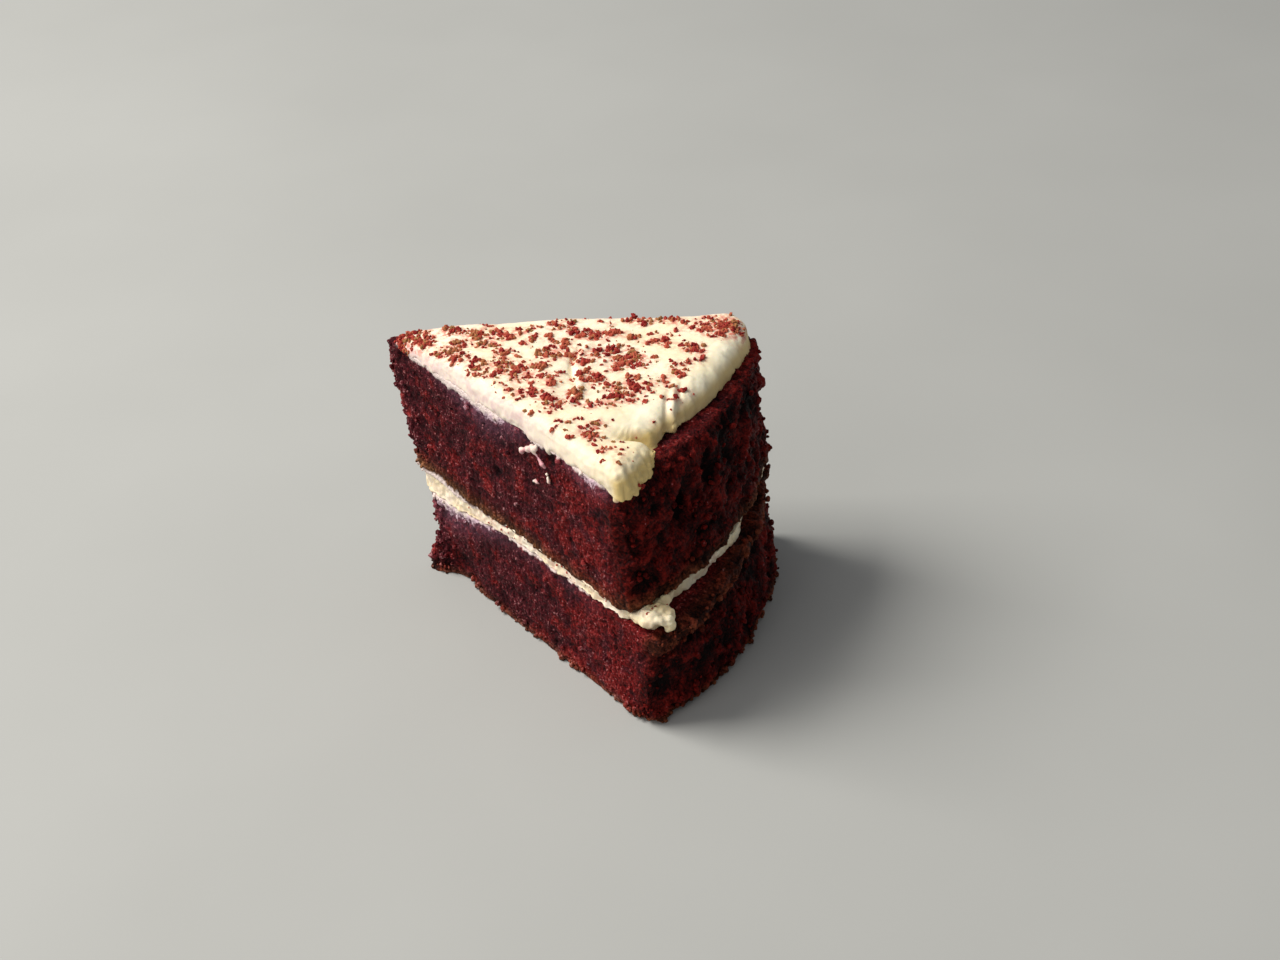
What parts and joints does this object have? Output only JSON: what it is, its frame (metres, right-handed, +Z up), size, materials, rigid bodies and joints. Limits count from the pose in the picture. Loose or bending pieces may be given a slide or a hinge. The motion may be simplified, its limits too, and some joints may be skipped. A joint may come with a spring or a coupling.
{
  "type": "slice of red velvet cake",
  "caption": "Wedge of red layer cake: two sponge layers, cream filling between them and a thick cream topping sprinkled with cake crumbs.",
  "frame": {"origin": "middle of the base of the slice's box, on the surface that it stands on", "axes": "+X from the tip to the curved rim along the slice's middle, +Z up"},
  "size_m": [0.1318, 0.1098, 0.0919],
  "materials": {
    "sponge": "dark red cake crumb, matte and open-pored, browner along the baked edges",
    "cream": "ivory cream cheese frosting, soft satin, spread with a spatula"
  },
  "bodies": {
    "root": {"lower_sponge": "sponge", "filling": "cream", "upper_sponge": "sponge", "frosting": "cream"}
  },
  "joints": []
}
